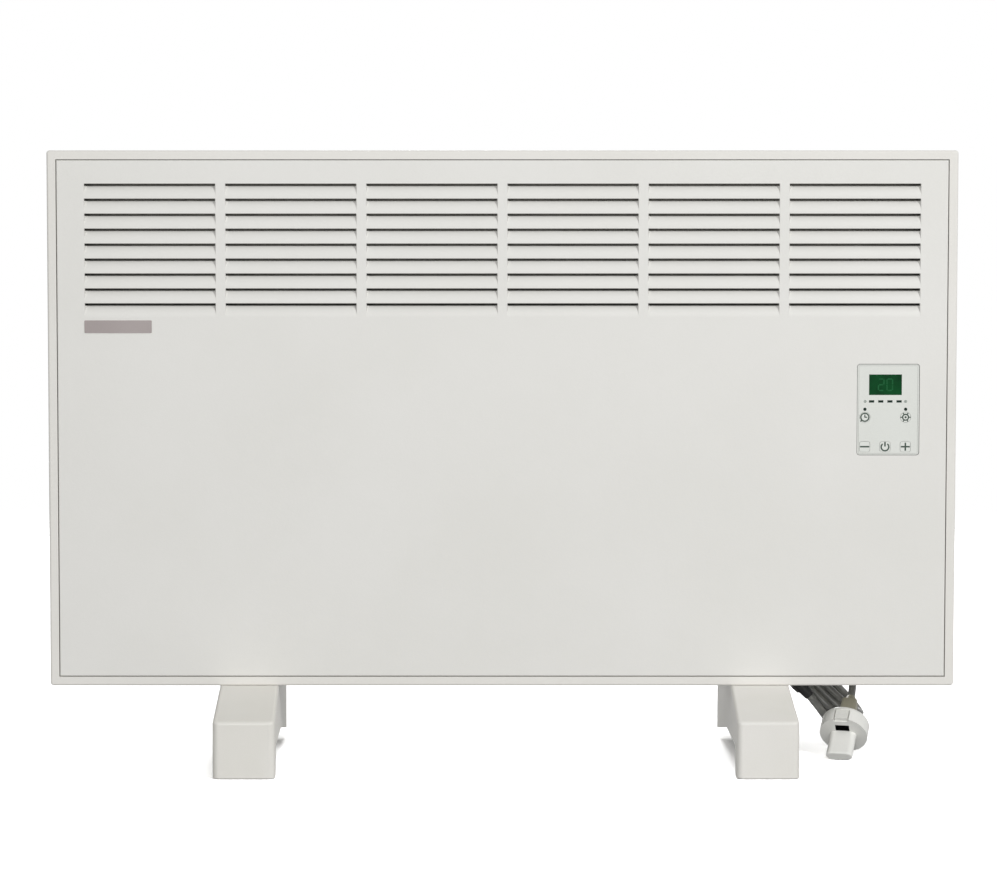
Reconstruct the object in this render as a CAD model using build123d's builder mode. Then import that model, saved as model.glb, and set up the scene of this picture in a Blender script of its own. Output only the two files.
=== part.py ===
"""Panel convector heater on two feet, with a folded lead and plug. Millimetres, +Z up.

The origin is on the floor under the middle of the casing. The front faces -Y.
"""

import os
from math import cos, pi, radians, sin, tan

from build123d import *

os.makedirs("parts", exist_ok=True)

# ---------------------------------------------------------------- casing and panel
casing_w = 762.0
casing_h = 450.0
casing_d = 85.0
foot_h = 67.0
sheet = 1.0
corner_r = 2.6
edge_r = 1.8
rim = 7.5
groove = 0.6
hem_d = 16.0
rear_flange = 14.0
cover_t = 0.9
cover_gap = 0.4
panel_t = 0.9
panel_edge_r = 0.9
panel_recess = 0.5

y_front = -casing_d / 2
y_back = casing_d / 2
z_low = foot_h
z_high = foot_h + casing_h
z_mid = foot_h + casing_h / 2
floor_in = z_low + sheet
window_w = casing_w - 2 * rim
window_h = casing_h - 2 * rim
panel_w = window_w - 2 * groove
panel_h = window_h - 2 * groove
panel_face = y_front + panel_recess
panel_back = panel_face + panel_t

# ---------------------------------------------------------------- louvres
louvre_cols = 6
louvre_rows = 9
louvre_len = 110.2
louvre_pitch_x = 118.0
louvre_pitch_z = 12.5
louvre_top_drop = 27.6
louvre_tall = 9.4
louvre_deep = 4.6
louvre_slit = 2.0
louvre_end = 2.2

# ---------------------------------------------------------------- nameplate
nameplate_w = 56.4
nameplate_h = 10.6
nameplate_t = 0.5
nameplate_drop = 147.2

# ---------------------------------------------------------------- control unit
cutout_w = 52.6
cutout_h = 76.8
cutout_r = 2.5
cutout_gap = 0.45
cutout_inset = 30.75
control_drop = 216.8
bezel_sunk = 0.5
bezel_rim = 1.05
bezel_ledge = 0.6
bezel_flange_t = 1.2
fascia_t = 1.2
fascia_gap = 0.15
display_w = 27.5
display_h = 17.3
display_up = 20.9
icons_left = 2.4
key_size = 8.6
key_r = 2.0
key_gap = 0.25
key_travel = 0.4
key_lip = 0.6
key_lip_t = 0.7
key_lip_gap = 0.1
key_edge = 1.4
key_side_edge = 1.0
side_key_drop = 6.4
stem_r = 1.6
bar_w = 4.4
bar_h = 2.0
bar_pitch = 7.7
bar_up = 6.9
bar_count = 4
dot_r = 1.4
dot_gap = 1.0
board_back = 9.0
board_t = 1.6
switch_size = 6.0
switch_tall = 3.5
housing_w = 62.0
housing_h = 88.0
housing_d = 26.0
housing_wall = 2.0

# ---------------------------------------------------------------- feet
foot_w = 51.5
foot_rear_w = 45.5
foot_len = 235.0
foot_x = 215.5
foot_shift = 2.2
foot_wall = 3.0
foot_crease = 47.5
foot_lift = 0.8
foot_rear_lift = 7.0
foot_leg = 17.0
foot_slant = 8.0
foot_arch = 25.0
foot_edge_r = 5.0
foot_toe = 4.0
foot_bolt_y = 24.0
screw_r = 2.5
screw_gap = 0.25
head_r = 4.8
head_t = 3.2
nut_t = 4.0
pad_t = 2.6
buffer_r = 8.5

# ---------------------------------------------------------------- inside
element_len = 440.0
element_x = -40.0
element_z = 152.0
element_core_r = 6.5
element_fin_r = 26.5
element_fin_t = 1.8
element_fins = 10
element_tail = 16.0
bracket_t = 1.5
bracket_half = 26.0
bracket_foot = 12.0
insulator_r = 10.0
stud_r = 2.0
guide_t = 0.5
guide_split_x = 235.0
guide_split_gap = 2.0
guide_side_gap = 1.0
guide_over_board = 12.0
power_board_w = 92.0
power_board_h = 62.0
power_board_x = 306.0
power_board_z = 168.0
standoff_r = 3.0
standoff_tall = 8.0
wire_r = 1.6
wall_hole_x = 400.0
wall_hole_z = 200.0
wall_hole_r = 2.7

# ---------------------------------------------------------------- lead
cord_d = 6.6
cord_r = cord_d / 2
gland_x = 253.5
gland_y = 27.5
gland_flange_r = 9.0
gland_flange_t = 2.0
gland_neck_r = 5.8
gland_boot_r = 6.2
gland_boot_len = 22.0
gland_tilt = 40.0
gland_nut_t = 4.0
lead_in_route = [
    (267.6, 27.5, 48.1),
    (275.8, 28.2, 38.2),
    (284.6, 31.6, 26.4),
    (293.2, 38.6, 15.8),
    (300.2, 48.2, 8.6),
    (304.2, 59.0, 6.6),
    (305.0, 70.2, 8.8),
]
lead_out_route = [
    (303.4, 26.6, 46.6),
    (306.4, 35.9, 54.5),
    (306.0, 46.0, 61.8),
    (300.6, 53.0, 69.9),
    (291.0, 55.6, 77.0),
    (273.5, 52.6, 87.0),
    (251.8, 48.5, 98.7),
]
hank_x = 267.7
hank_y = 70.5
hank_z = 61.6
hank_tilt = 40.0
hank_fold_r = 22.0
hank_run = 72.0
hank_stack = 30.0
hank_waist = 6.0
tie_w = 7.0
tie_t = 1.0
tie_gap = 0.3
plug_len = 68.5
cap_len = 25.0
cap_w = 22.5
cap_t = 9.0
pin_r = 2.0
pin_len = 19.0
pin_gap = 0.1
pin_half = 7.5
pin_root = 8.0
plug_r = 20.5
plug_disc = 15.0
plug_edge_r = 2.5
grip_w = 15.0
grip_t = 12.0
grip_len = 23.0
sleeve_r = 5.6
notch_w = 13.0
notch_deep = 4.0
slot_w = 12.0
slot_low = 4.5
slot_high = 12.0
slot_deep = 6.0
strip_w = 11.0
strip_t = 3.4


def save(piece, name):
    """Label one finished piece and write it."""
    piece.part.label = name
    export_step(piece.part, f"parts/{name}.step")


def front_plane(y, x=0.0, z=z_mid):
    """A plane facing -Y at the given depth. Its X is +X and its Y is +Z."""
    return Plane(origin=(x, y, z), x_dir=(1, 0, 0), z_dir=(0, -1, 0))


def side_plane(x):
    """A plane facing +X at the given place. Its X is +Y and its Y is +Z."""
    return Plane(origin=(x, 0, 0), x_dir=(0, 1, 0), z_dir=(1, 0, 0))


def corner_radii(route):
    """One radius for each corner of a cord: 0.45 of the shorter run over tan of half the turn."""
    points = [Vector(*p) for p in route]
    radii = []
    for before, corner, after in zip(points, points[1:], points[2:]):
        run_in = corner - before
        run_out = after - corner
        half_turn = radians(run_in.get_angle(run_out)) / 2
        radii.append(0.45 * min(run_in.length, run_out.length) / tan(half_turn))
    return radii


# ================================================================ casing shell
foot_bolts = [(foot_shift + side * foot_x, end * foot_bolt_y) for side in (-1, 1) for end in (-1, 1)]
inlet_cols = 8
inlet_rows = 5
inlet_len = 36.0
inlet_w = 4.0

with BuildPart() as casing_shell:
    with BuildSketch(front_plane(y_front)):
        RectangleRounded(casing_w, casing_h, corner_r)
    extrude(amount=-casing_d)
    fillet(casing_shell.faces().sort_by(Axis.Y)[0].edges(), radius=edge_r)
    with BuildSketch(front_plane(y_front + sheet)):
        RectangleRounded(casing_w - 2 * sheet, casing_h - 2 * sheet, corner_r - sheet)
    extrude(amount=-casing_d, mode=Mode.SUBTRACT)
    with BuildSketch(front_plane(y_front)):
        Rectangle(window_w, window_h)
    extrude(amount=-2 * sheet, mode=Mode.SUBTRACT)
    # hem behind the rim, which forms the outer side of the shadow gap
    with BuildSketch(front_plane(y_front)):
        Rectangle(window_w + 2 * sheet, window_h + 2 * sheet)
        Rectangle(window_w, window_h, mode=Mode.SUBTRACT)
    extrude(amount=-hem_d)
    # flange that the rear cover is screwed to
    with BuildSketch(front_plane(y_back - cover_t - sheet)):
        Rectangle(casing_w - 2 * sheet, casing_h - 2 * sheet)
        Rectangle(casing_w - 2 * sheet - 2 * rear_flange, casing_h - 2 * sheet - 2 * rear_flange,
                  mode=Mode.SUBTRACT)
    extrude(amount=-sheet)
    with BuildSketch(Plane.XY.offset(z_low)):
        with GridLocations(44.0, 11.0, inlet_cols, inlet_rows):
            SlotOverall(inlet_len, inlet_w)
        with Locations(*foot_bolts):
            Circle(screw_r + screw_gap)
        with Locations((gland_x, gland_y)):
            Circle(gland_neck_r)
    extrude(amount=sheet, mode=Mode.SUBTRACT)
save(casing_shell, "casing_shell")

# ================================================================ rear cover
cover_w = casing_w - 2 * sheet - 2 * cover_gap
cover_h = casing_h - 2 * sheet - 2 * cover_gap
cover_screw_in = sheet + rear_flange / 2
cover_screw_x = casing_w / 2 - cover_screw_in
cover_screw_z = casing_h / 2 - cover_screw_in
cover_screws = [(x * cover_screw_x, z * cover_screw_z) for x in (-1, -0.5, 0, 0.5, 1) for z in (-1, 1)]
cover_screw_r = 1.9
cover_rib_len = 640.0
cover_rib_h = 16.0
cover_rib_deep = 3.0
cover_rib_z = (-45.0, 55.0)
cover_slot_drop = casing_h / 2 - 44.0

with BuildPart() as rear_cover:
    with BuildSketch(front_plane(y_back - cover_t)):
        RectangleRounded(cover_w, cover_h, corner_r - sheet)
    extrude(amount=-cover_t)
    with BuildSketch(front_plane(y_back - cover_t - cover_rib_deep)):
        with Locations(*[(0, z) for z in cover_rib_z]):
            SlotOverall(cover_rib_len, cover_rib_h)
    extrude(amount=-cover_rib_deep)
    with BuildSketch(front_plane(y_back - cover_rib_deep)):
        with Locations(*[(0, z) for z in cover_rib_z]):
            SlotOverall(cover_rib_len - 2 * cover_t, cover_rib_h - 2 * cover_t)
    extrude(amount=-cover_rib_deep, mode=Mode.SUBTRACT)
    with BuildSketch(front_plane(y_back - cover_t)):
        with Locations((0, -cover_slot_drop)):
            with GridLocations(62.0, 11.0, 10, 4):
                SlotOverall(50.0, 4.5)
        with GridLocations(wall_hole_x, wall_hole_z, 2, 2):
            Circle(wall_hole_r)
        with Locations(*cover_screws):
            Circle(cover_screw_r)
    extrude(amount=-cover_t, mode=Mode.SUBTRACT)
save(rear_cover, "rear_cover")

# cross-head screws through the cover and into the casing's flange
with BuildPart() as cover_screw_set:
    with BuildSketch(front_plane(y_back)):
        with Locations(*cover_screws):
            Circle(3.6)
    extrude(amount=-2.0)
    fillet(cover_screw_set.faces().sort_by(Axis.Y)[-10:].edges(), radius=1.0)
    with BuildSketch(front_plane(y_back - cover_t)):
        with Locations(*cover_screws):
            Circle(cover_screw_r - 0.1)
    extrude(amount=-cover_t)
    with BuildSketch(front_plane(y_back + 2.0)):
        with Locations(*cover_screws):
            Rectangle(3.2, 0.8)
            Rectangle(0.8, 3.2)
    extrude(amount=1.0, mode=Mode.SUBTRACT)
save(cover_screw_set, "cover_screws")


# ================================================================ front panel with its louvres
def louvre_form(grow):
    """The pressed hollow of one louvre with its slit, or with grow the skin round the hollow."""
    deep = louvre_deep + grow
    foot_point = (0.0, -louvre_slit - louvre_tall - grow)
    head_point = (deep, -louvre_slit)
    half = louvre_len / 2 + grow
    with BuildPart() as form:
        with BuildSketch(side_plane(-louvre_len)):
            with BuildLine():
                TangentArc(foot_point, head_point, tangent=(0, 1))
                if grow:
                    Polyline(head_point, (0.0, -louvre_slit), foot_point)
                else:
                    Polyline(head_point, (deep, 0.0), (0.0, 0.0), foot_point)
            make_face()
        extrude(amount=2 * louvre_len)
        with BuildSketch(Plane.XY.offset(-2 * louvre_tall)):
            Polygon((-half, 0), (half, 0), (half - louvre_end, deep), (-half + louvre_end, deep),
                    align=None)
        extrude(amount=4 * louvre_tall, mode=Mode.INTERSECT)
    return form.part


louvre_z = z_high - louvre_top_drop - (louvre_rows - 1) * louvre_pitch_z / 2
louvre_grid = GridLocations(louvre_pitch_x, louvre_pitch_z, louvre_cols, louvre_rows)
louvre_spots = [(place.position.X, panel_face, louvre_z + place.position.Y) for place in louvre_grid]
control_x = casing_w / 2 - cutout_inset - cutout_w / 2
control_z = z_high - control_drop
louvre_skin = louvre_form(panel_t)
louvre_hollow = louvre_form(0.0)

with BuildPart() as front_panel:
    with BuildSketch(front_plane(panel_face)):
        Rectangle(panel_w, panel_h)
    extrude(amount=-(hem_d - panel_recess))
    fillet(front_panel.faces().sort_by(Axis.Y)[0].edges(), radius=panel_edge_r)
    with BuildSketch(front_plane(panel_back)):
        Rectangle(panel_w - 2 * panel_t, panel_h - 2 * panel_t)
    extrude(amount=-hem_d, mode=Mode.SUBTRACT)
    with Locations(*louvre_spots):
        add(louvre_skin)
    with Locations(*louvre_spots):
        add(louvre_hollow, mode=Mode.SUBTRACT)
    with BuildSketch(front_plane(panel_face, control_x, control_z)):
        RectangleRounded(cutout_w, cutout_h, cutout_r)
    extrude(amount=-panel_t, mode=Mode.SUBTRACT)
save(front_panel, "front_panel")

# spring clips between the panel's edge and the hem, deep in the shadow gap
clip_w = 18.0
clip_d = 5.0
clip_y = y_front + hem_d - clip_d - 1.0
clip_x = (panel_w + groove) / 2
clip_z = (panel_h + groove) / 2

with BuildPart() as panel_clips:
    with BuildSketch(front_plane(clip_y)):
        with Locations(*[(x * panel_w / 2, z * clip_z) for x in (-0.75, -0.25, 0.25, 0.75)
                         for z in (-1, 1)]):
            Rectangle(clip_w, groove)
        with Locations(*[(x * clip_x, z * panel_h / 2) for x in (-1, 1) for z in (-0.5, 0.5)]):
            Rectangle(groove, clip_w)
    extrude(amount=-clip_d)
save(panel_clips, "panel_clips")

# bare plate, stuck on under the first column of louvres
nameplate_x = -(louvre_cols - 1) / 2 * louvre_pitch_x - louvre_len / 2 + nameplate_w / 2
with BuildPart() as nameplate:
    with BuildSketch(front_plane(panel_face, nameplate_x, z_high - nameplate_drop)):
        RectangleRounded(nameplate_w, nameplate_h, 0.8)
    extrude(amount=nameplate_t)
save(nameplate, "nameplate")

# ================================================================ control unit
bezel_w = cutout_w - 2 * cutout_gap
bezel_h = cutout_h - 2 * cutout_gap
pocket_w = bezel_w - 2 * bezel_rim
pocket_h = bezel_h - 2 * bezel_rim
fascia_w = pocket_w - 2 * fascia_gap
fascia_h = pocket_h - 2 * fascia_gap
fascia_front = panel_face + bezel_sunk
fascia_back = fascia_front + fascia_t
icons_x = control_x - icons_left
board_front = fascia_back + board_back
key_pitch = pocket_w / 2 - icons_left - key_side_edge - key_size / 2
key_row_z = control_z - pocket_h / 2 + key_edge + key_size / 2
side_key_z = control_z - side_key_drop
dot_z = side_key_z + key_size / 2 + dot_gap + dot_r
key_places = {
    "key_minus": (icons_x - key_pitch, key_row_z, False),
    "key_power": (icons_x, key_row_z, False),
    "key_plus": (icons_x + key_pitch, key_row_z, False),
    "key_timer": (icons_x - key_pitch, side_key_z, True),
    "key_mode": (icons_x + key_pitch, side_key_z, True),
}
bar_places = [(icons_x + (i - (bar_count - 1) / 2) * bar_pitch, control_z + bar_up)
              for i in range(bar_count)]
dot_places = [(icons_x + side * key_pitch, dot_z) for side in (-1, 1)]
display_place = (icons_x, control_z + display_up)


def on_unit(places):
    """Places on the front of the control unit, from its middle."""
    return Locations(*[(x - control_x, z - control_z) for x, z in places])


def key_outline(is_round, grow):
    """The outline of a key, or with grow of its hole or its lip."""
    if is_round:
        Circle(key_size / 2 + grow)
    else:
        RectangleRounded(key_size + 2 * grow, key_size + 2 * grow, key_r + grow)


with BuildPart() as control_bezel:
    with BuildSketch(front_plane(fascia_front, control_x, control_z)):
        RectangleRounded(bezel_w, bezel_h, cutout_r - cutout_gap)
    extrude(amount=-(board_front - fascia_front))
    with BuildSketch(front_plane(panel_back, control_x, control_z)):
        Rectangle(housing_w - 2 * housing_wall, housing_h - 2 * housing_wall)
    extrude(amount=-bezel_flange_t)
    with BuildSketch(front_plane(fascia_front, control_x, control_z)):
        Rectangle(pocket_w, pocket_h)
    extrude(amount=-fascia_t, mode=Mode.SUBTRACT)
    with BuildSketch(front_plane(fascia_front, control_x, control_z)):
        Rectangle(pocket_w - 2 * bezel_ledge, pocket_h - 2 * bezel_ledge)
    extrude(amount=-2 * board_back, mode=Mode.SUBTRACT)
save(control_bezel, "control_bezel")

with BuildPart() as control_fascia:
    with BuildSketch(front_plane(fascia_front, control_x, control_z)):
        Rectangle(fascia_w, fascia_h)
        with on_unit([display_place]):
            Rectangle(display_w, display_h, mode=Mode.SUBTRACT)
        with on_unit(bar_places):
            Rectangle(bar_w, bar_h, mode=Mode.SUBTRACT)
        with on_unit(dot_places):
            Circle(dot_r, mode=Mode.SUBTRACT)
        for key_x, key_z, is_round in key_places.values():
            with BuildSketch(mode=Mode.PRIVATE) as key_hole:
                key_outline(is_round, key_gap)
            with on_unit([(key_x, key_z)]):
                add(key_hole.sketch, mode=Mode.SUBTRACT)
    extrude(amount=-fascia_t)
save(control_fascia, "control_fascia")

with BuildPart() as display_window:
    with BuildSketch(front_plane(fascia_front, *display_place)):
        Rectangle(display_w, display_h)
    extrude(amount=-fascia_t)
save(display_window, "display_window")

with BuildPart() as display_module:
    with BuildSketch(front_plane(fascia_back, *display_place)):
        Rectangle(display_w - 1.0, display_h - 1.0)
    extrude(amount=-board_back)
save(display_module, "display_module")

with BuildPart() as level_lights:
    with BuildSketch(front_plane(fascia_front, control_x, control_z)):
        with on_unit(bar_places):
            Rectangle(bar_w, bar_h)
    extrude(amount=-(fascia_t + board_back))
save(level_lights, "level_lights")

with BuildPart() as indicator_lights:
    with BuildSketch(front_plane(fascia_front, control_x, control_z)):
        with on_unit(dot_places):
            Circle(dot_r)
    extrude(amount=-(fascia_t + board_back))
save(indicator_lights, "indicator_lights")

switch_front = board_front - switch_tall
stem_end = switch_front - key_travel - key_lip_gap
key_lip_front = fascia_back + key_lip_gap
for key_name, (key_x, key_z, is_round) in key_places.items():
    with BuildPart() as key:
        with BuildSketch(front_plane(fascia_front, key_x, key_z)):
            key_outline(is_round, 0.0)
        extrude(amount=-(fascia_t + key_lip_gap + key_lip_t))
        with BuildSketch(front_plane(key_lip_front, key_x, key_z)):
            Rectangle(key_size + 2 * key_gap - 2 * key_lip, key_size + 2 * key_lip)
        extrude(amount=-key_lip_t)
        with BuildSketch(front_plane(key_lip_front, key_x, key_z)):
            Circle(stem_r)
        extrude(amount=-(stem_end - key_lip_front))
    save(key, key_name)

board_w = bezel_w
board_h = bezel_h + 2.0
with BuildPart() as control_board:
    with BuildSketch(front_plane(board_front, control_x, control_z)):
        Rectangle(board_w, board_h)
    extrude(amount=-board_t)
save(control_board, "control_board")

with BuildPart() as key_switches:
    with BuildSketch(front_plane(switch_front + 1.0, control_x, control_z)):
        with on_unit([(x, z) for x, z, _ in key_places.values()]):
            Rectangle(switch_size, switch_size)
    extrude(amount=-(switch_tall - 1.0))
    with BuildSketch(front_plane(switch_front, control_x, control_z)):
        with on_unit([(x, z) for x, z, _ in key_places.values()]):
            Circle(stem_r)
    extrude(amount=-1.0)
save(key_switches, "key_switches")

# closed box behind the panel, with a ledge that the board rests on
with BuildPart() as control_housing:
    with BuildSketch(front_plane(panel_back, control_x, control_z)):
        RectangleRounded(housing_w, housing_h, 4.0)
    extrude(amount=-housing_d)
    with BuildSketch(front_plane(panel_back, control_x, control_z)):
        Rectangle(housing_w - 2 * housing_wall, housing_h - 2 * housing_wall)
    extrude(amount=-(board_front + board_t - panel_back), mode=Mode.SUBTRACT)
    with BuildSketch(front_plane(board_front + board_t, control_x, control_z)):
        Rectangle(board_w - 8.0, housing_h - 2 * housing_wall)
    extrude(amount=-(housing_d - housing_wall - board_front - board_t + panel_back), mode=Mode.SUBTRACT)
    with BuildSketch(front_plane(panel_back + housing_d - housing_wall, control_x, control_z)):
        with Locations((0, -housing_h / 3)):
            Circle(5.0)
    extrude(amount=-housing_wall, mode=Mode.SUBTRACT)
save(control_housing, "control_housing")

# ================================================================ feet
foot_half = foot_len / 2
foot_outline = [
    (-foot_half, foot_lift),
    (-foot_half, foot_crease),
    (-casing_d / 2 - 1.5, foot_h),
    (casing_d / 2 + 1.5, foot_h),
    (foot_half, foot_crease),
    (foot_half, foot_rear_lift + foot_toe),
    (foot_half - foot_toe, foot_rear_lift),
    (0.0, foot_arch),
    (-foot_half + foot_leg + foot_slant, foot_arch),
    (-foot_half + foot_leg, foot_lift),
]
foot_hollow = [
    (-foot_half + foot_wall, -1.0),
    (-foot_half + foot_wall, foot_crease - 1.4),
    (-casing_d / 2 - 1.5, foot_h - foot_wall),
    (casing_d / 2 + 1.5, foot_h - foot_wall),
    (foot_half - foot_wall, foot_crease - 1.4),
    (foot_half - foot_wall, -1.0),
]
foot_names = {"foot_left": foot_shift - foot_x, "foot_right": foot_shift + foot_x}
boss_r = 7.0
boss_tall = 14.0
rib_t = 2.0
foot_ribs = (-72.0, -8.0, 8.0, 72.0)
pad_front = -foot_half + foot_wall + 0.3
toe_rib_y = -foot_half + foot_leg - 1.5
pad_rear = toe_rib_y - rib_t / 2 - 0.3
buffer_y = foot_half - 18.0
buffer_stem = 14.0

for foot_name, x in foot_names.items():
    with BuildPart() as foot:
        with BuildSketch(side_plane(x - foot_w / 2)):
            Polygon(*foot_outline, align=None)
        extrude(amount=foot_w)
        with BuildSketch(Plane.XY):
            Polygon((x - foot_w / 2, -foot_half), (x + foot_w / 2, -foot_half),
                    (x + foot_rear_w / 2, foot_half), (x - foot_rear_w / 2, foot_half), align=None)
        extrude(amount=foot_h, mode=Mode.INTERSECT)
        upright = foot.edges().filter_by(Axis.Z).group_by(Axis.Y)
        fillet(upright[0] + upright[-1], radius=foot_edge_r)
        creases = foot.edges().filter_by(Axis.X).filter_by(
            lambda edge: abs(edge.center().Z - foot_crease) < 0.1)
        fillet(creases, radius=3.0)
        with BuildSketch(side_plane(x - foot_rear_w / 2 + foot_wall)):
            Polygon(*foot_hollow, align=None)
        extrude(amount=foot_rear_w - 2 * foot_wall, mode=Mode.SUBTRACT)
        # bosses for the fixing screws, ribs across the hollow and a seat for the rear buffer
        with BuildSketch(Plane.XY.offset(foot_h - boss_tall)):
            with Locations((x, -foot_bolt_y), (x, foot_bolt_y)):
                Circle(boss_r)
        extrude(amount=boss_tall - foot_wall)
        with BuildSketch(Plane.XY.offset(foot_arch + 4.0)):
            with Locations(*[(x, rib_y) for rib_y in foot_ribs]):
                Rectangle(foot_rear_w - 2 * foot_wall, rib_t)
        extrude(amount=foot_crease - foot_arch)
        with BuildSketch(Plane.XY.offset(foot_lift)):
            with Locations((x, toe_rib_y)):
                Rectangle(foot_rear_w - 2 * foot_wall, rib_t)
        extrude(amount=foot_crease - foot_lift)
        with BuildSketch(Plane.XY.offset(foot_rear_lift + 4.0)):
            with Locations((x, buffer_y)):
                Rectangle(foot_rear_w - 2 * foot_wall, 2 * buffer_r + 4.0)
        extrude(amount=buffer_stem)
        with BuildSketch(Plane.XY.offset(foot_h - boss_tall)):
            with Locations((x, -foot_bolt_y), (x, foot_bolt_y)):
                Circle(screw_r + screw_gap)
        extrude(amount=boss_tall, mode=Mode.SUBTRACT)
        with BuildSketch(Plane.XY.offset(foot_rear_lift + 4.0)):
            with Locations((x, buffer_y)):
                Circle(3.5)
        extrude(amount=buffer_stem, mode=Mode.SUBTRACT)
    save(foot, foot_name)

# flat rubber pads inside the front toes
with BuildPart() as foot_pads:
    with BuildSketch(Plane.XY):
        for x in foot_names.values():
            with Locations((x, (pad_front + pad_rear) / 2)):
                Rectangle(foot_rear_w - 2 * foot_wall, pad_rear - pad_front)
    extrude(amount=pad_t)
save(foot_pads, "foot_pads")

# round rubber buffers, pushed into the rear toes
with BuildPart() as foot_buffers:
    with BuildSketch(Plane.XY):
        with Locations(*[(x, buffer_y) for x in foot_names.values()]):
            Circle(buffer_r)
    extrude(amount=foot_rear_lift + 4.0)
    fillet(foot_buffers.faces().sort_by(Axis.Z)[:2].edges(), radius=1.2)
    with BuildSketch(Plane.XY.offset(foot_rear_lift + 4.0)):
        with Locations(*[(x, buffer_y) for x in foot_names.values()]):
            Circle(3.5)
    extrude(amount=buffer_stem - 2.0)
save(foot_buffers, "foot_buffers")

with BuildPart() as foot_screws:
    with BuildSketch(Plane.XY.offset(foot_h - boss_tall - head_t)):
        with Locations(*foot_bolts):
            Circle(head_r)
    extrude(amount=head_t)
    with BuildSketch(Plane.XY.offset(foot_h - boss_tall)):
        with Locations(*foot_bolts):
            Circle(screw_r)
    extrude(amount=boss_tall + sheet)
    with BuildSketch(Plane.XY.offset(foot_h - boss_tall - head_t)):
        with Locations(*foot_bolts):
            RegularPolygon(2.3, 6)
    extrude(amount=2.0, mode=Mode.SUBTRACT)
save(foot_screws, "foot_screws")

with BuildPart() as foot_nuts:
    with BuildSketch(Plane.XY.offset(floor_in)):
        with Locations(*foot_bolts):
            RegularPolygon(4.6, 6)
    extrude(amount=nut_t)
save(foot_nuts, "foot_nuts")

# ================================================================ heating element
element_low = element_x - element_len / 2
element_high = element_x + element_len / 2
bracket_gap = 6.0
bracket_xs = {
    "element_bracket_left": element_low - bracket_gap - bracket_t,
    "element_bracket_right": element_high + bracket_gap,
}

with BuildPart() as heating_element:
    with BuildSketch(Plane(origin=(element_low, 0, element_z), x_dir=(0, 1, 0), z_dir=(1, 0, 0))):
        Circle(element_core_r + 2.0)
        with PolarLocations(0, element_fins):
            with Locations(((element_fin_r + element_core_r) / 2, 0)):
                Rectangle(element_fin_r - element_core_r, element_fin_t)
    extrude(amount=element_len)
    with BuildSketch(Plane(origin=(element_low - element_tail, 0, element_z),
                           x_dir=(0, 1, 0), z_dir=(1, 0, 0))):
        Circle(element_core_r)
    extrude(amount=element_len + 2 * element_tail)
save(heating_element, "heating_element")

for bracket_name, x in bracket_xs.items():
    outward = -1 if "left" in bracket_name else 1
    with BuildPart() as bracket:
        with BuildSketch(Plane(origin=(x, 0, 0), x_dir=(0, 1, 0), z_dir=(1, 0, 0))):
            with Locations((0, (floor_in + element_z + insulator_r + 12.0) / 2)):
                Rectangle(2 * bracket_half, element_z + insulator_r + 12.0 - floor_in)
            with Locations((0, element_z)):
                Circle(insulator_r, mode=Mode.SUBTRACT)
            with Locations((0, (floor_in + element_z) / 2 - 4.0)):
                Rectangle(2 * bracket_half - 22.0, 30.0, mode=Mode.SUBTRACT)
        extrude(amount=bracket_t)
        with BuildSketch(Plane.XY.offset(floor_in)):
            with Locations((x + bracket_t / 2 + outward * bracket_foot / 2, 0)):
                Rectangle(bracket_foot, 2 * bracket_half)
        extrude(amount=bracket_t)
    save(bracket, bracket_name)

# ceramic rings that carry the element's ends in the brackets
insulator_t = 6.0
with BuildPart() as element_insulators:
    for x in bracket_xs.values():
        with BuildSketch(Plane(origin=(x + bracket_t / 2 - insulator_t / 2, 0, element_z),
                               x_dir=(0, 1, 0), z_dir=(1, 0, 0))):
            Circle(insulator_r)
            Circle(element_core_r, mode=Mode.SUBTRACT)
        extrude(amount=insulator_t)
save(element_insulators, "element_insulators")

with BuildPart() as element_terminals:
    for x in (element_low - element_tail - 14.0, element_high + element_tail):
        with BuildSketch(Plane(origin=(x, 0, element_z), x_dir=(0, 1, 0), z_dir=(1, 0, 0))):
            Circle(stud_r)
        extrude(amount=14.0)
save(element_terminals, "element_terminals")

# ================================================================ air guides
guide_low_z = floor_in + 58.0
guide_bend_z = element_z + 82.0
guide_y = y_back - cover_t - 12.0
guide_edge = casing_w / 2 - sheet - rear_flange - guide_side_gap
board_guide_z = power_board_z + power_board_h / 2 + guide_over_board
guides = {
    "air_guide": (-guide_edge, guide_split_x, guide_low_z),
    "air_guide_right": (guide_split_x + guide_split_gap, guide_edge, board_guide_z),
}
for guide_name, (guide_from, guide_to, low_z) in guides.items():
    with BuildPart() as guide:
        with BuildSketch(side_plane(guide_from)):
            with BuildLine():
                Polyline((y_back - cover_t, low_z), (guide_y, low_z), (guide_y, guide_bend_z),
                         (y_front + 22.0, z_high - sheet - 12.0), (y_front + 22.0, z_high - sheet))
            trace(line_width=guide_t)
        extrude(amount=guide_to - guide_from)
    save(guide, guide_name)

thermal_r = 8.0
with BuildPart() as overheat_cutout:
    with BuildSketch(front_plane(guide_y - guide_t / 2, element_x, guide_bend_z - 24.0)):
        RectangleRounded(32.0, 12.0, 5.9)
    extrude(amount=1.2)
    with BuildSketch(front_plane(guide_y - guide_t / 2, element_x, guide_bend_z - 24.0)):
        Circle(thermal_r)
    extrude(amount=8.0)
save(overheat_cutout, "overheat_cutout")

with BuildPart() as room_sensor:
    with BuildSketch(Plane.XY.offset(floor_in)):
        with Locations((foot_x - 45.0, y_front + 26.0)):
            RectangleRounded(14.0, 8.0, 1.5)
    extrude(amount=9.0)
    fillet(room_sensor.faces().sort_by(Axis.Z)[-1].edges(), radius=1.2)
save(room_sensor, "room_sensor")

# ================================================================ power electronics
power_back = y_back - cover_t
board_spots = [(x * (power_board_w / 2 - 5.0), z * (power_board_h / 2 - 5.0))
               for x in (-1, 1) for z in (-1, 1)]
power_board_y = power_back - standoff_tall - board_t

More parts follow.
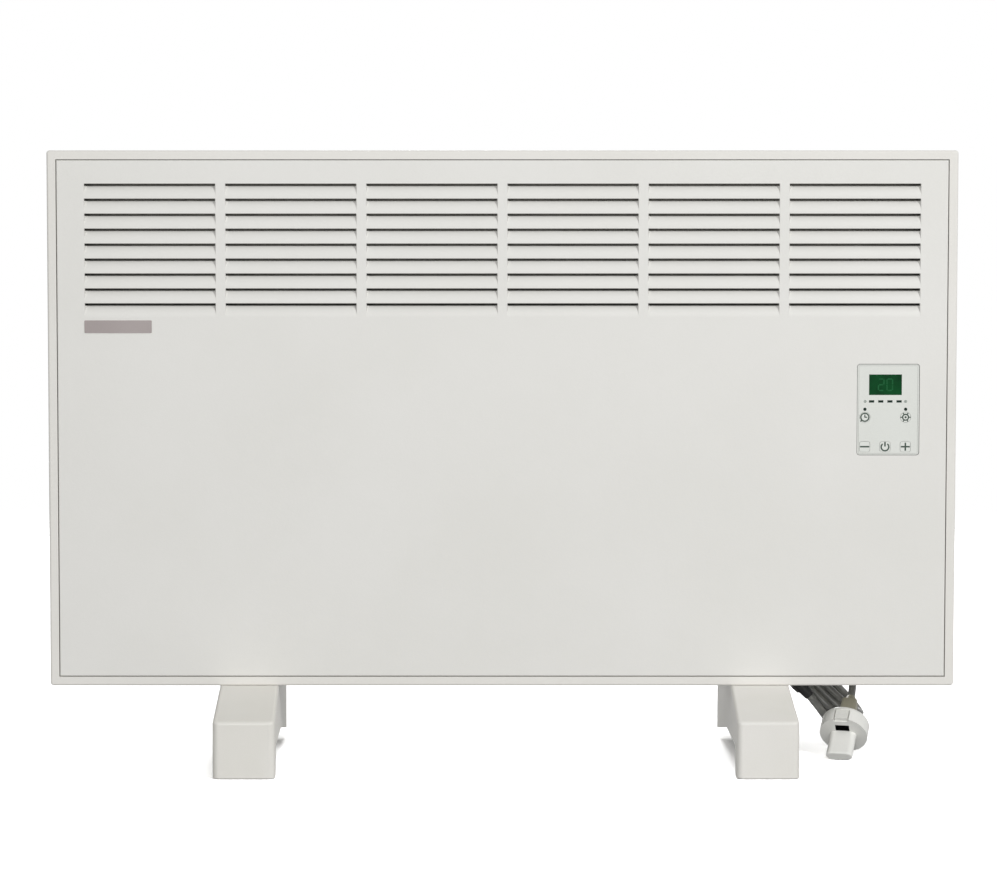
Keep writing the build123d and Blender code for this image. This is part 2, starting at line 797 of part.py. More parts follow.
with BuildPart() as board_standoffs:
    with BuildSketch(front_plane(power_back - standoff_tall, power_board_x, power_board_z)):
        with Locations(*board_spots):
            Circle(standoff_r)
    extrude(amount=-standoff_tall)
save(board_standoffs, "board_standoffs")

with BuildPart() as power_board:
    with BuildSketch(front_plane(power_board_y, power_board_x, power_board_z)):
        RectangleRounded(power_board_w, power_board_h, 2.0)
    extrude(amount=-board_t)
save(power_board, "power_board")

board_blocks = [
    (-24.0, 8.0, 29.0, 13.0, 16.0),
    (12.0, 12.0, 26.0, 22.0, 18.0),
    (-24.0, -14.0, 22.0, 9.0, 9.0),
    (14.0, -16.0, 30.0, 10.0, 12.0),
]
with BuildPart() as power_parts:
    for block_x, block_z, block_w, block_h, block_tall in board_blocks:
        with BuildSketch(front_plane(power_board_y, power_board_x + block_x, power_board_z + block_z)):
            RectangleRounded(block_w, block_h, 1.0)
        extrude(amount=block_tall)
save(power_parts, "power_parts")

block_centre = (315.0, 0.0)
block_size = (36.0, 18.0, 16.0)
with BuildPart() as terminal_block:
    with BuildSketch(Plane.XY.offset(floor_in)):
        with Locations(block_centre):
            Rectangle(block_size[0], block_size[1])
    extrude(amount=block_size[2])
    with BuildSketch(Plane.XY.offset(floor_in + block_size[2])):
        with Locations(block_centre):
            with GridLocations(11.0, 0.0, 3, 1):
                Circle(2.6)
    extrude(amount=-5.0, mode=Mode.SUBTRACT)
save(terminal_block, "terminal_block")

earth_spot = (350.0, 0.0)
with BuildPart() as earth_stud:
    with BuildSketch(Plane.XY.offset(floor_in)):
        with Locations(earth_spot):
            Circle(stud_r)
    extrude(amount=14.0)
save(earth_stud, "earth_stud")

with BuildPart() as earth_nut:
    with BuildSketch(Plane.XY.offset(floor_in)):
        with Locations(earth_spot):
            RegularPolygon(4.0, 6)
            Circle(stud_r, mode=Mode.SUBTRACT)
    extrude(amount=5.0)
save(earth_nut, "earth_nut")


def wire(route, radius, bend):
    """A round wire along straight runs with even bends."""
    with BuildPart() as strand:
        with BuildLine() as path:
            FilletPolyline(*route, radius=bend)
        with BuildSketch(path.line ^ 0):
            Circle(radius)
        sweep(path=path.line)
    return strand.part


wire_z = floor_in + 34.0
wire_y = -10.0
wire_end_z = power_board_z - 26.0
terminal_left = element_low - element_tail - 14.0
terminal_right = element_high + element_tail + 14.0
board_left = power_board_x - power_board_w / 2
strands = [
    wire([(terminal_left, 0, element_z), (terminal_left - 16, 0, element_z),
          (terminal_left - 16, wire_y, wire_z), (board_left + 14, wire_y, wire_z),
          (board_left + 14, wire_y, wire_end_z), (board_left + 14, power_board_y, wire_end_z)],
         wire_r, 7.0),
    wire([(terminal_right, 0, element_z), (board_left + 4, 0, element_z),
          (board_left + 4, power_board_y, element_z)], wire_r, 7.0),
    wire([(block_centre[0] + 11, 9, floor_in + 8), (block_centre[0] + 11, 17, floor_in + 8),
          (block_centre[0] + 11, power_board_y - 8, wire_end_z),
          (block_centre[0] + 11, power_board_y, wire_end_z)], wire_r, 4.0),
]
with BuildPart() as internal_wires:
    for strand in strands:
        add(strand)
save(internal_wires, "internal_wires")

# ================================================================ lead: gland, cord, hank and tie
boot_slant = radians(gland_tilt)
boot_axis = Vector(sin(boot_slant), 0, -cos(boot_slant))
boot_start = Vector(gland_x, gland_y, z_low - gland_flange_t)
boot_end = boot_start + boot_axis * gland_boot_len

with BuildPart() as cord_gland:
    with BuildSketch(Plane.XY.offset(z_low - gland_flange_t)):
        with Locations((gland_x, gland_y)):
            Circle(gland_flange_r)
    extrude(amount=gland_flange_t)
    with BuildSketch(Plane.XY.offset(z_low)):
        with Locations((gland_x, gland_y)):
            Circle(gland_neck_r)
    extrude(amount=sheet + gland_nut_t)
    # strain relief, slanted the way the lead leaves
    with BuildSketch(Plane(origin=boot_start, x_dir=(1, 0, 0), z_dir=(0, 0, -1))):
        Circle(gland_boot_r + 0.8)
    with BuildSketch(Plane(origin=boot_start + boot_axis * 6.0, x_dir=(0, 1, 0), z_dir=boot_axis)):
        Circle(gland_boot_r)
    loft()
    with BuildSketch(Plane(origin=boot_start + boot_axis * 6.0, x_dir=(0, 1, 0), z_dir=boot_axis)):
        Circle(gland_boot_r)
    with BuildSketch(Plane(origin=boot_end, x_dir=(0, 1, 0), z_dir=boot_axis)):
        Circle(cord_r + 0.9)
    loft()
save(cord_gland, "cord_gland")

with BuildPart() as gland_nut:
    with BuildSketch(Plane.XY.offset(floor_in)):
        with Locations((gland_x, gland_y)):
            RegularPolygon(9.0, 6)
            Circle(gland_neck_r, mode=Mode.SUBTRACT)
    extrude(amount=gland_nut_t - 1.0)
save(gland_nut, "gland_nut")

tail_top = floor_in + gland_nut_t
tail_over = floor_in + 38.0
block_top = floor_in + block_size[2]
tail = wire([(gland_x, gland_y, tail_top), (gland_x, gland_y, tail_over),
             (block_centre[0] - 11, 0, tail_over), (block_centre[0] - 11, 0, block_top)],
            cord_r, 9.0)
with BuildPart() as cord_tail:
    add(tail)
save(cord_tail, "cord_tail")


def lead(route):
    """The cord along one free stretch: straight runs joined by arcs as large as the runs allow."""
    radii = corner_radii(route)
    with BuildPart() as stretch:
        with BuildLine() as path:
            course = FilletPolyline(*route, radius=radii)
        with BuildSketch(path.line ^ 0):
            Circle(cord_r)
        sweep(path=path.line)
    share = stretch.part.volume / (pi * cord_r**2 * course.length)
    print("lead of", round(course.length, 1), "radii", [round(r, 1) for r in radii], "share", round(share, 4))
    return stretch


cord_lead_in = lead(lead_in_route)
save(cord_lead_in, "cord_lead_in")
cord_lead_out = lead(lead_out_route)
save(cord_lead_out, "cord_lead_out")

# The hank leans on a slant. Its turns run down the slant and are stacked square to it.
slant = radians(hank_tilt)
along = Vector(cos(slant), 0, -sin(slant))
stacked = Vector(sin(slant), 0, cos(slant))
hank_middle = Vector(hank_x, hank_y, hank_z)
hank_half = hank_fold_r + cord_r
hank_low = Plane(origin=hank_middle - stacked * (hank_stack / 2), x_dir=along, z_dir=stacked)
fold = hank_run / 2
waist = hank_half - hank_waist

with BuildPart() as cord_hank:
    with BuildSketch(hank_low):
        with BuildLine():
            ThreePointArc((fold, -hank_half), (fold + hank_half, 0), (fold, hank_half))
            Spline((fold, hank_half), (0, waist), (-fold, hank_half), tangents=[(-1, 0), (-1, 0)])
            ThreePointArc((-fold, hank_half), (-fold - hank_half, 0), (-fold, -hank_half))
            Spline((-fold, -hank_half), (0, -waist), (fold, -hank_half), tangents=[(1, 0), (1, 0)])
        make_face()
    extrude(amount=hank_stack)
    ends = cord_hank.faces().filter_by(Plane(origin=(0, 0, 0), z_dir=stacked))
    fillet(ends.edges(), radius=cord_r - 0.2)
save(cord_hank, "cord_hank")

tie_half = waist + tie_gap
tie_start = Plane(origin=hank_middle - along * (tie_w / 2), x_dir=(0, 1, 0), z_dir=along)
with BuildPart() as cord_tie:
    with BuildSketch(tie_start):
        Rectangle(2 * (tie_half + tie_t), hank_stack + 2 * tie_t)
        Rectangle(2 * tie_half, hank_stack, mode=Mode.SUBTRACT)
    extrude(amount=tie_w)
save(cord_tie, "cord_tie")

# ================================================================ plug, standing on its pin cap
plug_end = Vector(*lead_out_route[0])
plug_axis = (Vector(*lead_out_route[1]) - plug_end).normalized()
plug_tip = plug_end - plug_axis * plug_len
plug_frame = Plane(origin=plug_tip, x_dir=(-plug_axis.Y, plug_axis.X, 0), z_dir=plug_axis)


def along_plug(distance):
    """The plug's cross plane at a distance from its tip."""
    return plug_frame.offset(distance)


with BuildPart() as plug_body:
    with BuildSketch(along_plug(cap_len)):
        Circle(plug_r)
    extrude(amount=plug_disc)
    rims = plug_body.edges().filter_by(GeomType.CIRCLE)
    fillet(rims.sort_by(Axis(tuple(plug_tip), tuple(plug_axis)))[-1], radius=plug_edge_r)
    # notches for the earth strips, on the upper and the lower side
    with BuildSketch(along_plug(cap_len)):
        with Locations((0, plug_r), (0, -plug_r)):
            Rectangle(notch_w, 2 * notch_deep)
    extrude(amount=plug_disc - 4.0, mode=Mode.SUBTRACT)
    # slot in the face above the pins
    with BuildSketch(along_plug(cap_len)):
        with Locations((0, (slot_low + slot_high) / 2)):
            Rectangle(slot_w, slot_high - slot_low)
    extrude(amount=slot_deep, mode=Mode.SUBTRACT)
    with BuildSketch(along_plug(cap_len)):
        with Locations((-pin_half, 0), (pin_half, 0)):
            Circle(pin_r)
    extrude(amount=pin_root, mode=Mode.SUBTRACT)
save(plug_body, "plug_body")

grip_start = cap_len + plug_disc
sleeve_start = grip_start + grip_len
with BuildPart() as plug_grip:
    with BuildSketch(along_plug(grip_start)):
        RectangleRounded(grip_w, grip_t, 3.0)
    with BuildSketch(along_plug(sleeve_start)):
        RectangleRounded(grip_w - 2.0, grip_t, 3.0)
    loft()
    with BuildSketch(along_plug(sleeve_start)):
        Circle(sleeve_r)
    with BuildSketch(along_plug(plug_len)):
        Circle(cord_r + 0.7)
    loft()
save(plug_grip, "plug_grip")

with BuildPart() as plug_pins:
    with BuildSketch(along_plug(cap_len - pin_len)):
        with Locations((-pin_half, 0), (pin_half, 0)):
            Circle(pin_r)
    extrude(amount=pin_len + pin_root)
save(plug_pins, "plug_pins")

with BuildPart() as plug_earth_strips:
    with BuildSketch(along_plug(cap_len + 1.0)):
        with Locations((0, plug_r - notch_deep + strip_t / 2), (0, -plug_r + notch_deep - strip_t / 2)):
            Rectangle(strip_w, strip_t)
    extrude(amount=plug_disc - 5.0)
save(plug_earth_strips, "plug_earth_strips")

with BuildPart() as plug_cap:
    with BuildSketch(plug_frame):
        SlotOverall(cap_w, cap_t)
    extrude(amount=cap_len)
    fillet(plug_cap.faces().sort_by(Axis.Z)[0].edges(), radius=1.5)
    with BuildSketch(along_plug(cap_len - pin_len)):
        with Locations((-pin_half, 0), (pin_half, 0)):
            Circle(pin_r + pin_gap)
    extrude(amount=pin_len, mode=Mode.SUBTRACT)
save(plug_cap, "plug_cap")
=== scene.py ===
"""The look of a panel convector heater: camera, lead, finishes, prints and lights, in metres."""

import math

import bmesh
import bpy
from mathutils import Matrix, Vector


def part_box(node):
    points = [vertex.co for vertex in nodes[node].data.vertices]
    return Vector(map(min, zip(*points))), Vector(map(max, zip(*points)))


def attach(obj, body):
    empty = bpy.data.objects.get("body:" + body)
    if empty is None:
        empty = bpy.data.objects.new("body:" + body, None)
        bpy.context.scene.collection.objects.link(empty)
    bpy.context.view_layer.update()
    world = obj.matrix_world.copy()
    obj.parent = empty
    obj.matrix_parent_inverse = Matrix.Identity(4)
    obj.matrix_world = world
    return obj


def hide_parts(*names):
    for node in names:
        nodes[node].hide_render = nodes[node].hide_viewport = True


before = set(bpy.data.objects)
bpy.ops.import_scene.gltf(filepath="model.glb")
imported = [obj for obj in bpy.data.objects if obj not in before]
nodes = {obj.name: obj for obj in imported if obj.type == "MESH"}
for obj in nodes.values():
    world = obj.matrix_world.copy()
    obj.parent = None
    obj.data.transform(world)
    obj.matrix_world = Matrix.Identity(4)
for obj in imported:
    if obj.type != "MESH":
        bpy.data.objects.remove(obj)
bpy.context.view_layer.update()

MM = 0.001

# ---------------------------------------------------------------- camera
CAMERA_PLACE = (-0.0378, -2.6425, 0.4398)
# how far below level it looks, in degrees
CAMERA_DIP = 3.587
# film and lens in millimetres, and the picture's sideways shift as a share of its width
CAMERA_FILM = 36.0
CAMERA_LENS = 112.03
CAMERA_SHIFT_X = 0.0414
CAMERA_REACH = 50.0

camera_data = bpy.data.cameras.new("camera")
camera_data.sensor_width = CAMERA_FILM
camera_data.lens = CAMERA_LENS
camera_data.shift_x = CAMERA_SHIFT_X
camera_data.clip_end = CAMERA_REACH
camera = bpy.data.objects.new("camera", camera_data)
camera.location = CAMERA_PLACE
camera.rotation_euler = (math.radians(90.0 - CAMERA_DIP), 0.0, 0.0)
bpy.context.scene.collection.objects.link(camera)
bpy.context.scene.camera = camera

# ---------------------------------------------------------------- lead
CORD = 6.6 * MM
LEAD_IN = [
    (0.2676, 0.0275, 0.0481),
    (0.2758, 0.0282, 0.0382),
    (0.2846, 0.0316, 0.0256),
    (0.2932, 0.0386, 0.0134),
    (0.3002, 0.0482, 0.0050),
    (0.3042, 0.0590, 0.0033),
    (0.3050, 0.0702, 0.0034),
]
LEAD_OUT = [
    (0.2518, 0.0485, 0.0987),
    (0.2735, 0.0526, 0.0870),
    (0.2910, 0.0556, 0.0770),
    (0.3006, 0.0530, 0.0699),
    (0.3060, 0.0460, 0.0618),
    (0.3064, 0.0359, 0.0545),
    (0.3034, 0.0266, 0.0466),
]
PLUG_LENGTH = 68.5 * MM
PLUG_CAP_LENGTH = 25.0 * MM
HANK_MIDDLE = Vector((0.2677, 0.0705, 0.0616))
HANK_SLANT = math.radians(40.0)
FOLD_RADIUS = 22.0 * MM
HALF_RUN = 36.0 * MM
WAIST = 6.0 * MM
LEVEL_STEP = 5.4 * MM
FIRST_LEVEL = -9.6 * MM
TURNS = 4
# how far each turn's lower and upper fold sticks out, and how far it stands off to the side
FOLD_OUT = [0.0, 1.1, -0.8, 0.9, -1.0]
STAND_OFF = [-1.1, 0.9, -1.2, 1.0, -0.6]
# how far each turn's lower fold sinks below the slant, the first one onto the floor
FOLD_SAG = [12.6, 10.6, 8.8, 7.0, 5.4]
# the sag starts a little before the middle and grows by this power of the way to the fold
SAG_START = -8.0 * MM
SAG_POWER = 1.4
# the upper folds settle onto the foot
HEAD_SAG = 2.0 * MM
# the corner points of a half turn
FOLD_CORNERS = 4
# the points of a run as shares of its half length, each with its share of the waist
RUN_POINTS = ((-0.78, 0.10), (-0.34, 0.72), (0.0, 1.0), (0.34, 0.72), (0.78, 0.10))
# how finely the lead is meshed round itself and between two points of its line
STEPS_ROUND = 4
STEPS_ALONG = 6

down_slant = Vector((math.cos(HANK_SLANT), 0.0, -math.sin(HANK_SLANT)))
off_slant = Vector((math.sin(HANK_SLANT), 0.0, math.cos(HANK_SLANT)))


def in_hank(run, side, level, sag):
    """A point of the hank, from its middle: down the slant, towards the back and off the slant."""
    end = HALF_RUN + FOLD_RADIUS
    sunk = sag * max(0.0, (run - SAG_START) / (end - SAG_START)) ** SAG_POWER
    sunk += HEAD_SAG * max(0.0, -run / end)
    return HANK_MIDDLE + down_slant * run + Vector((0.0, side, -sunk)) + off_slant * level


def fold_points(end, first_angle, out, stand_off, level_from, level_to, sag):
    """The corners of a half turn round one end, which the smooth line touches between them."""
    corner = 180.0 / FOLD_CORNERS
    reach = (FOLD_RADIUS + stand_off) / math.cos(math.radians(corner / 2))
    points = []
    for step in range(FOLD_CORNERS):
        angle = math.radians(first_angle + corner * (step + 0.5))
        share = (step + 0.5) / FOLD_CORNERS
        level = level_from + (level_to - level_from) * share
        run = end * HALF_RUN + reach * math.cos(angle) + end * out * abs(math.cos(angle))
        points.append(in_hank(run, reach * math.sin(angle), level, sag))
    return points


def run_points(side, direction, stand_off, level, sag):
    """The points of one run, drawn in at the waist where the tie holds it."""
    points = []
    for share, pull in RUN_POINTS:
        across = side * (FOLD_RADIUS + stand_off - WAIST * pull)
        points.append(in_hank(direction * share * HALF_RUN, across, level, sag))
    return points


def hank_route():
    """The wound turns, from half way round the lowest fold to the start of the lead-out."""
    route = []
    for turn in range(TURNS + 1):
        level = FIRST_LEVEL + turn * LEVEL_STEP
        out = FOLD_OUT[turn] * MM
        off = STAND_OFF[turn] * MM
        sag = FOLD_SAG[turn] * MM
        lower = fold_points(1, -90.0, out, off, level - LEVEL_STEP, level, sag)
        route += lower[FOLD_CORNERS // 2:] if turn == 0 else lower
        route += run_points(1, -1, off, level, sag)
        rise = LEVEL_STEP if turn == TURNS else 0.0
        route += fold_points(-1, 90.0, out, off, level, level + rise, sag)
        if turn < TURNS:
            route += run_points(-1, 1, off, level, sag)
    return route


def draw_cord():
    """The whole free lead as one smooth line with the lead's thickness."""
    line = bpy.data.curves.new("lead", "CURVE")
    line.dimensions = "3D"
    line.bevel_depth = CORD / 2
    line.bevel_resolution = STEPS_ROUND
    line.resolution_u = STEPS_ALONG
    line.use_fill_caps = True
    spline = line.splines.new("NURBS")
    points = [Vector(p) for p in LEAD_IN] + hank_route() + [Vector(p) for p in LEAD_OUT]
    spline.points.add(len(points) - 1)
    for slot, point in zip(spline.points, points):
        slot.co = (*point, 1.0)
    spline.order_u = 3
    spline.use_endpoint_u = True
    cord = bpy.data.objects.new("lead", line)
    bpy.context.scene.collection.objects.link(cord)
    return cord


lead = draw_cord()

# the plug's own directions: from its pins to its cord, sideways, and up across its face
plug_axis = (Vector(LEAD_OUT[-2]) - Vector(LEAD_OUT[-1])).normalized()
plug_side = Vector((-plug_axis.y, plug_axis.x, 0.0)).normalized()
plug_up = plug_axis.cross(plug_side)
plug_face = Vector(LEAD_OUT[-1]) - plug_axis * (PLUG_LENGTH - PLUG_CAP_LENGTH)

# ---------------------------------------------------------------- shader maths
# a Mix node's sockets for colours, which its other kinds name alike: share, both ends, result
MIX_SHARE, MIX_FIRST, MIX_SECOND, MIX_RESULT = 0, 6, 7, 2


class Wire:
    """An output in a node tree, with arithmetic that adds Math nodes."""

    def __init__(self, graph, socket):
        self.graph = graph
        self.socket = socket

    def calc(self, operation, *others):
        return self.graph.node("ShaderNodeMath", {"operation": operation}, (self, *others))

    def __add__(self, other):
        return self.calc("ADD", other)

    __radd__ = __add__

    def __sub__(self, other):
        return self.calc("SUBTRACT", other)

    def __rsub__(self, other):
        return self.graph.node("ShaderNodeMath", {"operation": "SUBTRACT"}, (other, self))

    def __mul__(self, other):
        return self.calc("MULTIPLY", other)

    __rmul__ = __mul__

    def step(self, low, high):
        """0 below low, 1 above high, smooth between them."""
        settings = {"interpolation_type": "SMOOTHSTEP"}
        values = {"Value": self, "From Min": low, "From Max": high, "To Min": 0.0, "To Max": 1.0}
        return self.graph.node("ShaderNodeMapRange", settings, values)

    def between(self, low, high, soft):
        """1 between low and high, falling to 0 within soft outside them."""
        return self.step(low - soft, low) * (1.0 - self.step(high, high + soft))


class Graph:
    """A node tree, with the one method that adds nodes to it."""

    def __init__(self, tree):
        self.tree = tree

    def node(self, kind, settings, values, output=0):
        """A node of one type, its settings set first and then its sockets, as one output."""
        made = self.tree.nodes.new(kind)
        for key, value in settings.items():
            setattr(made, key, value)
        pairs = values.items() if isinstance(values, dict) else enumerate(values)
        for key, value in pairs:
            if isinstance(value, Wire):
                self.link(value, made.inputs[key])
            else:
                made.inputs[key].default_value = value
        return Wire(self, made.outputs[output])

    def link(self, wire, socket):
        self.tree.links.new(wire.socket, socket)

    def ray(self, kind):
        """1 for the light paths of one kind."""
        return self.node("ShaderNodeLightPath", {}, {}, f"Is {kind} Ray")


class Finish(Graph):
    """One material, built on a principled shader, whose constants are named by its sockets."""

    def __init__(self, name, **constants):
        self.material = bpy.data.materials.new(name)
        self.material.use_nodes = True
        super().__init__(self.material.node_tree)
        self.shader = self.tree.nodes["Principled BSDF"]
        for key, value in constants.items():
            label = key.replace("_", " ").title().replace("Ior", "IOR")
            self.shader.inputs[label].default_value = value
        self.place = self.node("ShaderNodeTexCoord", {}, {}, "Object")

    def noise(self, scale, detail, roughness, stretch=None):
        """Noise in the piece's own space, scale in waves per metre."""
        place = self.place
        if stretch:
            place = self.node("ShaderNodeMapping", {}, {"Vector": place, "Scale": stretch})
        values = {"Vector": place, "Scale": scale, "Detail": detail, "Roughness": roughness}
        return self.node("ShaderNodeTexNoise", {}, values)

    def cells(self, scale, feature="F1"):
        values = {"Vector": self.place, "Scale": scale}
        return self.node("ShaderNodeTexVoronoi", {"feature": feature}, values)

    def axis(self, name):
        return self.node("ShaderNodeSeparateXYZ", {}, (self.place,), name)

    def along(self, origin, direction):
        """How far a point lies from origin in one direction, in metres."""
        moved = self.node("ShaderNodeVectorMath", {"operation": "SUBTRACT"}, (self.place, origin))
        settings = {"operation": "DOT_PRODUCT"}
        return self.node("ShaderNodeVectorMath", settings, (moved, direction), "Value")

    def blend(self, share, first, second):
        """Colour mixed from first to second by share."""
        values = {MIX_SHARE: share}
        for key, colour in ((MIX_FIRST, first), (MIX_SECOND, second)):
            values[key] = colour if isinstance(colour, Wire) else (*colour, 1.0)
        return self.node("ShaderNodeMix", {"data_type": "RGBA"}, values, MIX_RESULT)

    def set(self, key, value):
        self.link(value, self.shader.inputs[key])

    def bump(self, height, distance):
        """Relief of the surface, distance in metres."""
        values = {"Height": height, "Distance": distance}
        self.set("Normal", self.node("ShaderNodeBump", {}, values))


def srgb(red, green, blue):
    """A colour given as it looks on a screen, 0 to 255, as the shader wants it."""
    out = []
    for value in (red, green, blue):
        value /= 255.0
        out.append(value / 12.92 if value <= 0.04045 else ((value + 0.055) / 1.055) ** 2.4)
    return tuple(out)


# ---------------------------------------------------------------- kinds of finish
def powder_coat(name, light, dark):
    """Baked powder paint: fine orange peel, fine speckle and faint clouding."""
    coat = Finish(name, specular_ior_level=0.35, coat_weight=0.03, coat_roughness=0.45)
    grain = 2600.0
    cloud = coat.noise(7.0, 3.0, 0.55)
    speckle = coat.noise(1900.0, 2.0, 0.6)
    peel = coat.noise(grain / 6.0, 2.0, 0.45)
    fine = coat.noise(grain, 2.0, 0.5)
    share = (cloud * 0.6 + speckle * 0.4).step(0.30, 0.72)
    coat.set("Base Color", coat.blend(share, dark, light))
    coat.set("Roughness", cloud * 0.10 + speckle * 0.06 + 0.42)
    coat.bump(peel * 0.7 + fine * 0.3, 0.00006)
    return coat.material


# near black, painted into places that lie in deep shade: painted shade
PAINTED_SHADE_BLACK = srgb(12, 12, 11)


def moulded(name, light, dark, rough=0.40, grain=1500.0, depth=0.00005, gloss=0.0, painted_shade_mask=None):
    """Moulded plastic: spark-eroded grain, slow flow clouds and soft gloss changes.

    The last argument gives the mask of a place that is painted near black as painted shade, because
    it lies in deep shade.
    """
    plastic = Finish(name, coat_weight=gloss, coat_roughness=0.2)
    flow = plastic.noise(14.0, 2.0, 0.5, (1.0, 1.0, 0.4))
    grit = plastic.noise(grain, 3.0, 0.6)
    pits = plastic.cells(grain * 0.8)
    share = (flow * 0.7 + grit * 0.3).step(0.32, 0.70)
    colour = plastic.blend(share, dark, light)
    if painted_shade_mask:
        # painted shade: near black mixed in where the mask is 1
        colour = plastic.blend(painted_shade_mask(plastic), colour, PAINTED_SHADE_BLACK)
    plastic.set("Base Color", colour)
    plastic.set("Roughness", flow * 0.08 + grit * 0.08 + (rough - 0.08))
    plastic.bump(grit * 0.6 + pits * 0.4, depth)
    return plastic.material


# the bezel's flange, painted near black as painted shade at the bottom of the seam, starts between
# these two depths
FLANGE_DEPTH = (-41.35 * MM, -41.25 * MM)


def seam_painted_shade(plastic):
    """1 on the bezel's flange, which is seen only as the bottom of the seam round the unit and is
    painted near black there as painted shade.
    """
    return plastic.axis("Y").step(*FLANGE_DEPTH)


# the slot in the plug's face, which is painted near black inside as painted shade: from that face
# inwards, from its middle up and across it
SLOT_DEEP = (1.0 * MM, 6.1 * MM)
SLOT_HIGH = (4.5 * MM, 12.0 * MM)
SLOT_WIDE = (-6.0 * MM, 6.0 * MM)


def plug_slot_painted_shade(plastic):
    """1 inside the slot in the plug's face, a little way in from its mouth, where it is painted
    near black as painted shade.
    """
    deep = plastic.along(plug_face, plug_axis).between(*SLOT_DEEP, 0.6 * MM)
    high = plastic.along(plug_face, plug_up).between(*SLOT_HIGH, 0.1 * MM)
    wide = plastic.along(plug_face, plug_side).between(*SLOT_WIDE, 0.1 * MM)
    return deep * high * wide


def plain_metal(name, light, dark, rough=0.32, stretch=(1.0, 30.0, 30.0), metal=1.0):
    """Rolled or plated metal: fine drawn lines and faint stains."""
    sheet = Finish(name, metallic=metal)
    lines = sheet.noise(60.0, 4.0, 0.6, stretch)
    stain = sheet.noise(35.0, 4.0, 0.6)
    sheet.set("Base Color", sheet.blend((lines * 0.5 + stain * 0.5).step(0.3, 0.7), dark, light))
    sheet.set("Roughness", lines * 0.16 + stain * 0.12 + (rough - 0.12))
    sheet.bump(lines, 0.00002)
    return sheet.material


def rubbery(name, light, dark, rough=0.6, grain=900.0):
    """Soft rubber or cord sheath: matt, slightly dusty and finely pitted."""
    rubber = Finish(name)
    dust = rubber.noise(60.0, 4.0, 0.6)
    grit = rubber.noise(grain, 3.0, 0.55)
    share = (dust * 0.75 + grit * 0.25).step(0.35, 0.72)
    rubber.set("Base Color", rubber.blend(share, dark, light))
    rubber.set("Roughness", dust * 0.16 + grit * 0.08 + (rough - 0.12))
    rubber.bump(grit, 0.00004)
    return rubber.material


def circuit(name):
    """Green solder mask with copper tracks showing through and a weave below it."""
    board = Finish(name, coat_weight=0.4, coat_roughness=0.15)
    tracks = board.cells(260.0, "DISTANCE_TO_EDGE").step(0.04, 0.07)
    weave = board.noise(1200.0, 2.0, 0.5, (1.0, 0.3, 1.0))
    mask = board.blend(weave.step(0.40, 0.70), srgb(18, 60, 38), srgb(26, 72, 48))
    board.set("Base Color", board.blend(tracks, srgb(52, 112, 74), mask))
    board.set("Roughness", weave * 0.2 + 0.3)
    board.bump(tracks, 0.00003)
    return board.material


def smoked(name, light, dark, rough):
    """Smoked window over the figures: deep, glossy, with a faint bluish green lift."""
    window = Finish(name, specular_ior_level=0.1, coat_weight=0.02, coat_roughness=0.05)
    mist = window.noise(90.0, 3.0, 0.5)
    window.set("Base Color", window.blend(mist.step(0.3, 0.7), dark, light))
    window.set("Roughness", mist * 0.08 + rough)
    window.bump(window.noise(500.0, 1.0, 0.4), 0.000005)
    return window.material


def inked(name, light, dark, scale=1400.0, uneven=0.15, rough=0.35, **constants):
    """Printing ink or a lit figure: slightly uneven and satin."""
    ink = Finish(name, **constants)
    patches = ink.noise(scale, 2.0, 0.5)
    ink.set("Base Color", ink.blend(patches.step(0.3, 0.7), dark, light))
    ink.set("Roughness", patches * uneven + rough)
    return ink.material


# ---------------------------------------------------------------- the finishes
UNIT_LIGHT = srgb(224, 226, 221)
UNIT_DARK = srgb(219, 221, 215)
# the smooth mouldings of the control unit
UNIT_SURFACE = {"grain": 2200.0, "depth": 0.00002}

casing_paint = powder_coat("casing_powder_coat", srgb(233, 231, 226), srgb(227, 225, 219))
panel_paint = powder_coat("panel_powder_coat", srgb(231, 230, 226), srgb(226, 225, 220))
cover_paint = powder_coat("cover_powder_coat", srgb(222, 221, 216), srgb(214, 213, 207))
foot_plastic = moulded("foot_moulding", srgb(232, 230, 225), srgb(226, 224, 217),
                       rough=0.38, grain=1100.0)
fascia_plastic = moulded("fascia_moulding", UNIT_LIGHT, UNIT_DARK,
                         rough=0.28, gloss=0.2, **UNIT_SURFACE)
# the bezel's flange at the bottom of the seam round the unit is painted near black: painted shade
bezel_plastic = moulded("bezel_moulding", UNIT_LIGHT, UNIT_DARK,
                        rough=0.28, gloss=0.2, painted_shade_mask=seam_painted_shade, **UNIT_SURFACE)
key_plastic = moulded("key_moulding", srgb(226, 228, 223), srgb(221, 224, 218),
                      rough=0.26, gloss=0.25, **UNIT_SURFACE)
grey_plastic = moulded("housing_moulding", srgb(96, 98, 100), srgb(80, 82, 84), rough=0.5)
black_plastic = moulded("black_moulding", srgb(34, 34, 35), srgb(24, 24, 25), rough=0.42)
cream_plastic = moulded("insulator_moulding", srgb(222, 218, 204), srgb(208, 203, 188), rough=0.45)
